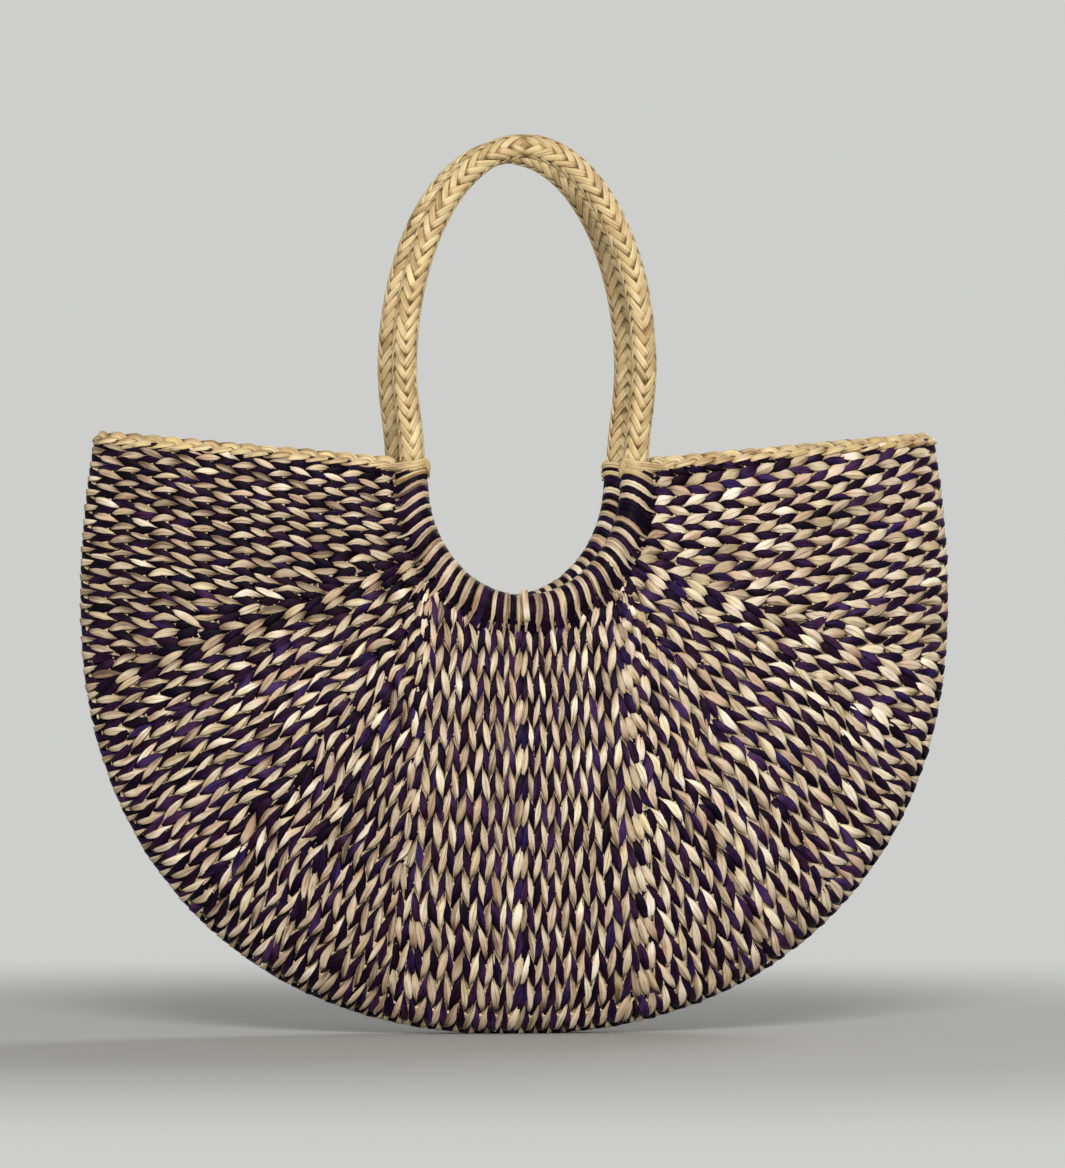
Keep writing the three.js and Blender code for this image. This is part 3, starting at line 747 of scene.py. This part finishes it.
        # Between the rods the two straws cross, and what turns under there fills the middle of the
        # wall: a straight straw from rod to rod.
        atRods = (rows % 1 == 0) & (share > 0)
        atRods &= fromOpening >= (firstRow[column] - 1 if firstRow[column] > 1 else 0)
        fillMiddle, fillJitter = straws["fillTone"]
        fillTone = fillMiddle + draws.normal(0, fillJitter)
        fillSlot = int(draws.random() < straws["fillPurple"])
        for face in faces:
            used = atRods & onFace[face]
            if used.sum() > 1:
                path = line[used].copy()
                last, beforeLast = (0, 1) if face == "front" else (-1, -2)
                path[last] += straws["fillLead"] * unit(path[last] - path[beforeLast])
                pieces[face].strip(
                    path, normal[used], straws["fillWidth"] * pitch[used], straws["thickness"],
                    fillTone, slot=fillSlot,
                )


for sector in sectors:
    group = sector["group"]
    woven = {face: Piece(f"{face}_{group}_weave") for face in faces}
    weaveSector(sector, woven)
    print(group, "columns", columnCounts(sector)[[0, edgeRow]])
    for face, piece in woven.items():
        piece.make((natural, purple), "bag", "two_colour_straw", [f"{face}_{group}_straws"])
        triangles = 2 * sum(len(quads) for quads in piece.quads)
        print(piece.name, len(piece.points), "straws", triangles, "triangles")

# The straws wrapped round the core of each hand opening.
wraps = {
    "pitch": 3.2,
    "width": 3.4,
    "thickness": 1.1,
    "radius": 7.75,
    "purpleBelow": 0.15,  # how much less the purple straws' radius is
    "tip": (2.6, 9.0),  # least and most that a wrap reaches past the edge of the weave
    "beforeRod": 1.4,  # from its tip to the first rod
    "lean": 3.4,  # of the tip down the core, beside the straight sides
    "arch": 1.35,  # turns of the lean's cosine: over 1, a wrap is highest before its inner side
    "tipWidths": (0.35, 0.75),  # shares of the width, natural and purple
    "tipFade": 2.2,  # how fast a wrap widens with the cosine of its turn
    "shares": (0.95, 1.2),  # of the width, natural and purple
    "tone": 0.55,
    "widthJitter": 0.2,
    "mostWidthJitter": 0.35,
    "radiusJitter": 0.12,
    "tipJitter": 0.4,
    "leanJitter": 0.25,
    "placeJitter": 0.2,
    "toneJitter": 0.13,
    "steps": 18,
    "closerSteps": 1.25,  # power by which the steps gather at the tip
    "doubleChance": 0.07,  # that two neighbours have the same colour
    "topGap": 0.3,
    "purplePatch": (5,),  # wraps below the right root that are all purple
    "looseEnd": {
        "place": 0.6, "rise": 6.6, "lean": -1.4, "width": 3.4, "above": 1.1, "tone": 0.68,
        "turns": (0.3, 0.65), "bentShare": 0.7, "steps": 6,
    },
}


def wrapOpening(face, sign):
    # Each loop is a teardrop: round the core at one radius, then straight on both sides to the
    # tip, where the distance is radius / cos(tip angle - angle).
    piece = Piece(f"{face}_opening_wraps")
    share, half = openingOutline(0)
    length = lengthAlong(half)[-1]
    fromTop = body["rimRootHeight"] - body["openingShoulder"] + wraps["topGap"] + wraps["width"] / 2
    count = int((length - fromTop) / wraps["pitch"])
    turn = np.linspace(-halfTurn, halfTurn, wraps["steps"], endpoint=False)
    turn = halfTurn * np.sign(turn) * (np.abs(turn) / halfTurn) ** wraps["closerSteps"]
    for side in (-1, 1):
        purpleNow = True
        for number in range(0 if side > 0 else 1, count + 1):
            reach = length - number * (length - fromTop) / count
            fromRoot = count - number
            if draws.random() > wraps["doubleChance"]:
                purpleNow = not purpleNow
            patch = side > 0 and fromRoot in wraps["purplePatch"]
            slot = 1 if purpleNow or patch else 0
            place = np.array([reach / length])
            centre = pointsAt(place, share, half)[0]
            ahead = pointsAt(place + 0.01, share, half)[0] - pointsAt(place - 0.01, share, half)[0]
            along = unit(ahead) if reach < length - 0.5 else np.array((-1.0, 0.0))
            along = np.array((side * along[0], 0, along[1]))
            out = np.array((along[2], 0, -along[0])) * -side
            forward = np.array((0, sign, 0))
            radius = wraps["radius"] + draws.normal(0, wraps["radiusJitter"])
            radius = radius - wraps["purpleBelow"] * slot
            fromRim = np.interp(reach / length, openingShares, halfLines)
            edge = wall.points[int(round(fromRim * gridPerLine))]
            gap = np.linalg.norm(edge[gridPerRow] - edge[0]) - wraps["beforeRod"]
            tip = body["wrapRadius"] + np.clip(gap, *wraps["tip"])
            tip = tip + draws.normal(0, wraps["tipJitter"])
            bend = np.clip(math.acos(radius / tip) - np.abs(turn), 0, None)
            distance = radius / np.cos(bend)
            lean = wraps["lean"] * (1 - reach / length) ** 0.5
            lean = lean + draws.normal(0, wraps["leanJitter"])
            radial = np.cos(turn)[:, None] * out + np.sin(turn)[:, None] * forward
            shift = lean * np.cos(wraps["arch"] * turn) + draws.normal(0, wraps["placeJitter"])
            path = np.array((side * centre[0], sign * body["mouthHalfDepth"], centre[1]))
            path = path + radial * distance[:, None] + along * shift[:, None]
            atTip = smoothStep(1 - wraps["tipFade"] * (1 - np.cos(turn)))
            pinched = 1 - (1 - wraps["tipWidths"][slot]) * atTip
            most = wraps["mostWidthJitter"]
            jitter = np.clip(draws.normal(0, wraps["widthJitter"]), -most, most)
            width = wraps["width"] * wraps["shares"][slot] * pinched * (1 + jitter)
            tone = wraps["tone"] + draws.normal(0, wraps["toneJitter"])
            piece.strip(path, radial, width, wraps["thickness"], tone, ring=True, slot=slot)
    if face == "front":
        # One straw's end stands up in front of the others: it turns round the core, then rises.
        end = wraps["looseEnd"]
        share = np.linspace(0, 1, end["steps"])
        bent = end["bentShare"]
        centre = np.array((end["place"], -body["mouthHalfDepth"], half[-1, 1]))
        turn = halfTurn * np.interp(share, (0, bent), end["turns"])
        radial = np.stack((np.zeros_like(turn), -np.sin(turn), -np.cos(turn)), -1)
        path = centre + radial * (wraps["radius"] + end["above"])
        path[:, 2] += np.clip(share - bent, 0, 1) * end["rise"] / (1 - bent)
        path[:, 0] += end["lean"] * share
        piece.strip(path, radial, end["width"], wraps["thickness"], end["tone"])
    return piece.make((natural, purple), "bag", "two_colour_straw", [f"{face}_opening_wrap"])


for face, sign in faces.items():
    wrapOpening(face, sign)
print("hand openings wrapped")

# Rim braids: three flat straws plaited along the top of each wing and round its corner.
rimPlait = {
    "period": 30,
    "swing": 2.1,
    "depth": 0.9,
    "width": 3.9,
    "thickness": 1.0,
    "lift": 3.1,  # of its middle over the weave
    "forward": 1.1,
    "stepsPerPeriod": 24,
    "tilt": 38,  # degrees that its face turns from the front to the top
    "flatness": 1.6,  # of the strands' swing
    "tone": 0.58,
    # Painted shade: the strand is painted darker where it passes behind the other two.
    "paintedUnderShade": 0.35,
    "longest": 300,  # that a rim may be, for its luck
    "toneLuck": (9, 0.12),  # how far apart it is drawn, and how much
    "widthLuck": (12, 0.08),
    "lineSteps": 400,
}


def braidRim(face, side, station):
    # A strand swings across by tanh(f sin(p)) / tanh(f), for the flatness f, and in and out by
    # sin(2 p), where p goes once round in a period and each strand is a third behind the last. Both
    # rims are plaited from left to right.
    piece = Piece(f"{face}_{side}_rim_plait")
    rows = np.linspace(0.0, edgeRow, rimPlait["lineSteps"])
    stations = np.full(len(rows), float(station))
    line = wall.sample(wall.points, stations, rows)
    facing = wall.sample(wall.normals, stations, rows)
    line = line + (0, 0, rimPlait["lift"])
    reach = lengthAlong(line)
    count = int(reach[-1] / rimPlait["period"] * rimPlait["stepsPerPeriod"])
    places = np.linspace(0, reach[-1], count)
    line = pointsAt(places, reach, line)
    facing = pointsAt(places, reach, facing)
    facing[:, 2] = 0
    facing = unit(facing)
    line = line + rimPlait["forward"] * facing
    tilt = math.radians(rimPlait["tilt"])
    up = np.array((0, 0, 1.0))
    top = up * math.cos(tilt) - facing * math.sin(tilt)
    out = up * math.sin(tilt) + facing * math.cos(tilt)
    if face == "back":
        line, top, out = line * (1, -1, 1), top * (1, -1, 1), out * (1, -1, 1)
    flatness, longest = rimPlait["flatness"], rimPlait["longest"]
    for strand in range(3):
        phase = 2 * halfTurn * (places / rimPlait["period"] + strand / 3)
        swing = np.tanh(flatness * np.sin(phase)) / math.tanh(flatness)
        path = line + top * (rimPlait["swing"] * swing)[:, None]
        rightwards = -1 if side == "right" else 1
        forward = rightwards * np.sin(2 * phase)
        path = path + out * (rimPlait["depth"] * forward)[:, None]
        tone = rimPlait["tone"] + wander(places, longest, *rimPlait["toneLuck"])
        # Painted shade where the strand passes behind the others.
        tone = tone - rimPlait["paintedUnderShade"] * smoothStep(0.2 - forward)
        width = rimPlait["width"] * (1 + wander(places, longest, *rimPlait["widthLuck"]))
        piece.strip(path, out, width, rimPlait["thickness"], tone)
    return piece.make((rimStraw,), "bag", "braid_straw", [f"{face}_{side}_rim_braid"])


for face in faces:
    for side, station in (("left", 0), ("right", lastLine)):
        braidRim(face, side, station)
print("rims plaited")

# Root bindings: straws wound round the foot of each handle, and the rim plait's three straws laid
# over them.
binding = {
    "radius": 8.25,
    "bands": ((287.3, 3.1, 0), (290.0, 2.7, 1), (292.1, 2.1, 0)),  # height, rise and colour of each
    "arch": 1.35,
    "width": 3.3,
    "thickness": 1.0,
    "bandSteps": 40,
    "bandOutwards": 0.12,  # from one band to the next
    "bandTone": 0.52,
    "heightJitter": 0.15,
    "widthJitter": 0.07,
    "toneJitter": 0.1,
    "strapFrom": 19,  # along the rim, from the root's middle
    "strapFromStep": 2.5,
    "rimShare": 0.45,  # of a strap that lies along the rim
    "strapTurns": (0.5, 0.97),  # half turns from the side of the bag, at the rim and at its end
    "strapSteps": 36,
    "strapWidth": 2.3,
    "strapThickness": 0.9,
    "strapTone": 0.55,
    "strapIn": 1.9,  # from the root's front to the strap on the rim
    "strapTilt": 0.35,  # of its face to the top, on the rim
    "strapHeights": (292.4, 293.2, 294.5, 296.0, 290.6),
    "strapStep": 1.7,  # down from one strap to the next
    "strapClosing": 0.6,  # share of that step which is gone on the rim
    "strapJitter": 0.08,
    "strapRadius": 0.8,  # past the bands
    "strapInwards": 0.25,  # from one strap to the next
}


def bindRoot(face, side, centre, sign):
    # Each band goes round the root, low on the bag's side: it rises by the cosine of the arch times
    # the turn from there. The strap comes off the rim, crosses the front and goes down inside.
    piece = Piece(f"{face}_{side}_root_straws")
    outwards = -1 if side == "left" else 1
    turn = np.linspace(-halfTurn, halfTurn, binding["bandSteps"], endpoint=False)
    radial = np.stack((outwards * np.cos(turn), sign * np.sin(turn), np.zeros_like(turn)), -1)
    middle = np.array((centre[0], centre[1], 0))
    clockwise = outwards * sign > 0
    for number, (height, rise, slot) in enumerate(binding["bands"]):
        path = middle + radial * (binding["radius"] + binding["bandOutwards"] * number)
        height = height + draws.normal(0, binding["heightJitter"])
        path[:, 2] = height - rise * np.cos(binding["arch"] * turn)
        facing = radial if clockwise else radial[::-1]
        width = binding["width"] * (1 + draws.normal(0, binding["widthJitter"]))
        tone = binding["bandTone"] + draws.normal(0, binding["toneJitter"])
        piece.strip(
            path if clockwise else path[::-1], facing, width, binding["thickness"], tone, ring=True,
            slot=slot,
        )
    # Along a strap: straight in from the rim, then round from the front to the inner side.
    share = np.linspace(0, 1, binding["strapSteps"])
    rimShare = binding["rimShare"]
    turn = np.interp(share, (rimShare, 1), binding["strapTurns"]) * halfTurn
    radial = np.stack((outwards * np.cos(turn), sign * np.sin(turn), np.zeros_like(turn)), -1)
    onRim = 1 - smoothStep(share / rimShare)
    facing = unit(radial + onRim[:, None] * np.array((0, 0, binding["strapTilt"])))
    strapHeights = binding["strapHeights"]
    for strap in range(3):
        radius = binding["radius"] + binding["strapRadius"] - binding["strapInwards"] * strap
        path = middle + radial * radius
        away = binding["strapFrom"] - binding["strapFromStep"] * strap
        path[:, 0] += outwards * away * np.clip(1 - share / rimShare, 0, 1)
        path[:, 1] -= sign * (binding["radius"] - binding["strapIn"]) * onRim
        path[:, 2] = np.interp(share, np.linspace(0, 1, len(strapHeights)), strapHeights)
        lower = 1 - binding["strapClosing"] * onRim + draws.normal(0, binding["strapJitter"])
        path[:, 2] -= strap * binding["strapStep"] * lower
        tone = binding["strapTone"] + draws.normal(0, binding["toneJitter"])
        piece.strip(path, facing, binding["strapWidth"], binding["strapThickness"], tone)
    return piece.make((rimStraw, purple), "bag", "binding_straw", [f"{face}_{side}_root_binding"])


for face, sign in faces.items():
    for side, x in (("left", -1), ("right", 1)):
        place = hingePlace[f"{face}_handle"]
        bindRoot(face, side, (x * body["openingHalfWidth"], place[1]), sign)
print("roots bound")

# Handles: flat straws plaited round a rope, along straight legs under half an ellipse.
handle = {
    "halfWidth": 62,
    "widestAbove": 48,
    "rise": 114,
    "legShare": 0.15,
    "strands": 9,  # each way round
    "lead": 60,
    "width": 3.55,
    "thickness": 0.9,
    "radius": 5.5,
    "wave": 0.5,
    "bands": 3,
    "phase": 0.25,  # of the bands, so that the middle of their V lies a little beside the front
    "flatness": 2.2,  # of the wave
    "changeOver": 5,  # length of the top over which the ways change over
    "tone": 0.55,
    "toneJitter": 0.07,
    "widthJitter": 0.05,
    # Painted shade: a strand is painted darker where it passes under the other way's strands.
    "paintedUnderShade": 0.45,
    "longest": 620,  # that a handle may be, for its luck
    "turnLuck": (20, 0.035),  # how far apart it is drawn, and how much
    "toneLuck": (20, 0.09),
    "steps": 360,
    "footDepth": 3.6,
    "footRadius": 6.2,
}


def handleLine(start):
    # The handle's middle line: legs that spread by a smooth step, then half an ellipse.
    t = np.linspace(0, 1, 2 * outlinePoints - 1)
    side = np.where(t < 0.5, -1, 1)
    leg = np.minimum(t, 1 - t) / handle["legShare"]
    height = start + (handle["widestAbove"] - start) * np.clip(leg, 0, 1)
    spread = smoothStep(height / handle["widestAbove"])
    legX = side * (body["openingHalfWidth"] + (handle["halfWidth"] - body["openingHalfWidth"]) * spread)
    angle = (t - handle["legShare"]) / (1 - 2 * handle["legShare"]) * halfTurn
    onLeg = leg < 1
    x = np.where(onLeg, legX, -handle["halfWidth"] * np.cos(angle))
    z = np.where(onLeg, height, handle["widestAbove"] + handle["rise"] * np.sin(angle))
    return np.stack((x, np.zeros_like(x), z), -1)


def plaitHandle(face, sign):
    # Strands wind both ways round the line. At an angle round the handle, the wave lifts one way
    # over the other in three bands each, as a flattened sine: tanh(f sin) / tanh(f), for the flatness
    # f. At the top of the loop the ways change over, so that the V points down in both legs.
    piece = Piece(f"{face}_handle_plait")
    line = handleLine(-handle["footDepth"])
    reach = lengthAlong(line)
    places = np.linspace(0, reach[-1], handle["steps"])
    line = pointsAt(places, reach, line)
    along = unit(np.gradient(line, axis=0))
    front = np.array((0, sign, 0.0))
    outer = np.cross(front, along) * sign
    fromEnd = np.minimum(places, reach[-1] - places) - handle["footDepth"]
    below = np.clip(-fromEnd, 0, None)
    taper = np.sqrt(handle["footRadius"] ** 2 - below**2) / handle["footRadius"]
    flatness, longest = handle["flatness"], handle["longest"]
    for way in (-1, 1):
        for strand in range(handle["strands"]):
            turn = 2 * halfTurn * (strand / handle["strands"] + way * places / handle["lead"])
            turn = turn + wander(places, longest, *handle["turnLuck"])
            wave = np.tanh(flatness * np.sin(handle["bands"] * turn + handle["phase"]))
            wave = wave / math.tanh(flatness)
            wave = way * wave * np.tanh((reach[-1] / 2 - places) / handle["changeOver"])
            radius = (handle["radius"] + handle["wave"] * wave) * taper
            radial = np.cos(turn)[:, None] * front + np.sin(turn)[:, None] * outer
            path = line + radial * radius[:, None] + hingePlace[f"{face}_handle"]
            tone = handle["tone"] + draws.normal(0, handle["toneJitter"])
            tone = tone + wander(places, longest, *handle["toneLuck"])
            # Painted shade where the strand passes under the other way's strands.
            tone = tone - handle["paintedUnderShade"] * smoothStep(0.75 - wave)
            width = handle["width"] * (1 + draws.normal(0, handle["widthJitter"]))
            piece.strip(path, radial, width, handle["thickness"], tone)
    return piece.make((handleStraw,), f"{face}_handle", "plaited_straw", [f"{face}_handle_sleeve"])


for face, sign in faces.items():
    plaitHandle(face, sign)
print("handles plaited")

# Stage, light and camera.
view = {
    "azimuth": -7,
    "distance": 5,
    "imageWidth": 0.5507,  # metres across the picture at the middle of the bag
    "aim": (0.0084, 0, 0.2322),
}
stage = {
    "backdrop": (206, 207, 204),
    "floor": (176, 177, 175),
    "floorSize": 60,
    "fade": (0.35, 1.1),  # distances from the bag between which the floor turns into the backdrop
    "worldLight": 0.31,
    "worldColour": (1, 0.985, 0.96, 1),
}
lampTarget = (0, 0, 0.2)
lamps = {
    "key": {"place": (-0.5, -4.4, 1.8), "size": 1.4, "power": 220, "colour": (1, 0.985, 0.955)},
    "back_fill": {"place": (1.8, 1.9, 1.6), "size": 1.6, "power": 40, "colour": (0.97, 0.98, 1)},
}


def mixShaders(tree, share, first, second, out):
    mix = addNode(tree, "ShaderNodeMixShader", {0: share, 1: first.outputs[0], 2: second.outputs[0]})
    tree.links.new(mix.outputs[0], tree.nodes[out].inputs["Surface"])


def makeFloor():
    # A pale floor that keeps its shadow near the bag and fades into the backdrop's colour.
    bpy.ops.mesh.primitive_plane_add(size=stage["floorSize"])
    floor = bpy.context.object
    floor.name = "floor"
    material, tree, shader = newMaterial("pale_floor")
    shader.inputs["Base Color"].default_value = linear(stage["floor"])
    shader.inputs["Roughness"].default_value = 0.9
    shader.inputs["Specular IOR Level"].default_value = 0.1
    coords = addNode(tree, "ShaderNodeTexCoord")
    distance = addNode(tree, "ShaderNodeVectorMath", {0: coords.outputs["Object"]}, operation="LENGTH")
    near, far = stage["fade"]
    fade = addNode(
        tree, "ShaderNodeMapRange",
        {"Value": distance.outputs["Value"], "From Min": near, "From Max": far},
        interpolation_type="SMOOTHSTEP",
    )
    glow = addNode(tree, "ShaderNodeEmission", {"Color": linear(stage["backdrop"])})
    mixShaders(tree, fade.outputs[0], shader, glow, "Material Output")
    floor.data.materials.append(material)


def makeWorld():
    # The camera and reflections see the backdrop's colour, and everything else a soft white.
    world = bpy.data.worlds.new("studio")
    bpy.context.scene.world = world
    world.use_nodes = True
    tree = world.node_tree
    light = tree.nodes["Background"]
    light.inputs["Color"].default_value = stage["worldColour"]
    light.inputs["Strength"].default_value = stage["worldLight"]
    seen = addNode(tree, "ShaderNodeBackground", {"Color": linear(stage["backdrop"])})
    ray = addNode(tree, "ShaderNodeLightPath").outputs
    direct = calculate(tree, "MAXIMUM", ray["Is Camera Ray"], ray["Is Glossy Ray"])
    mixShaders(tree, direct, light, seen, "World Output")


def makeLamp(name, place, size, power, colour):
    lamp = bpy.data.lights.new(name, "AREA")
    lamp.shape = "DISK"
    lamp.size = size
    lamp.energy = power
    lamp.color = colour
    holder = bpy.data.objects.new(name, lamp)
    bpy.context.scene.collection.objects.link(holder)
    holder.location = place
    direction = np.array(lampTarget) - np.array(place)
    yaw = math.atan2(direction[1], direction[0]) - halfTurn / 2
    pitch = math.atan2(direction[2], math.hypot(direction[0], direction[1])) + halfTurn / 2
    holder.rotation_euler = (pitch, 0, yaw)


def makeCamera():
    camera = bpy.data.cameras.new("camera")
    holder = bpy.data.objects.new("camera", camera)
    bpy.context.scene.collection.objects.link(holder)
    azimuth = math.radians(view["azimuth"])
    back = np.array((math.sin(azimuth), -math.cos(azimuth), 0))
    holder.location = np.array(view["aim"]) + back * view["distance"]
    holder.rotation_euler = (halfTurn / 2, 0, azimuth)
    camera.sensor_fit = "HORIZONTAL"
    camera.angle = 2 * math.atan(view["imageWidth"] / 2 / view["distance"])
    bpy.context.scene.camera = holder


makeFloor()
makeWorld()
for name, lamp in lamps.items():
    makeLamp(name, **lamp)
makeCamera()
bpy.context.scene.view_settings.view_transform = "Standard"
print("stage, light and camera ready")
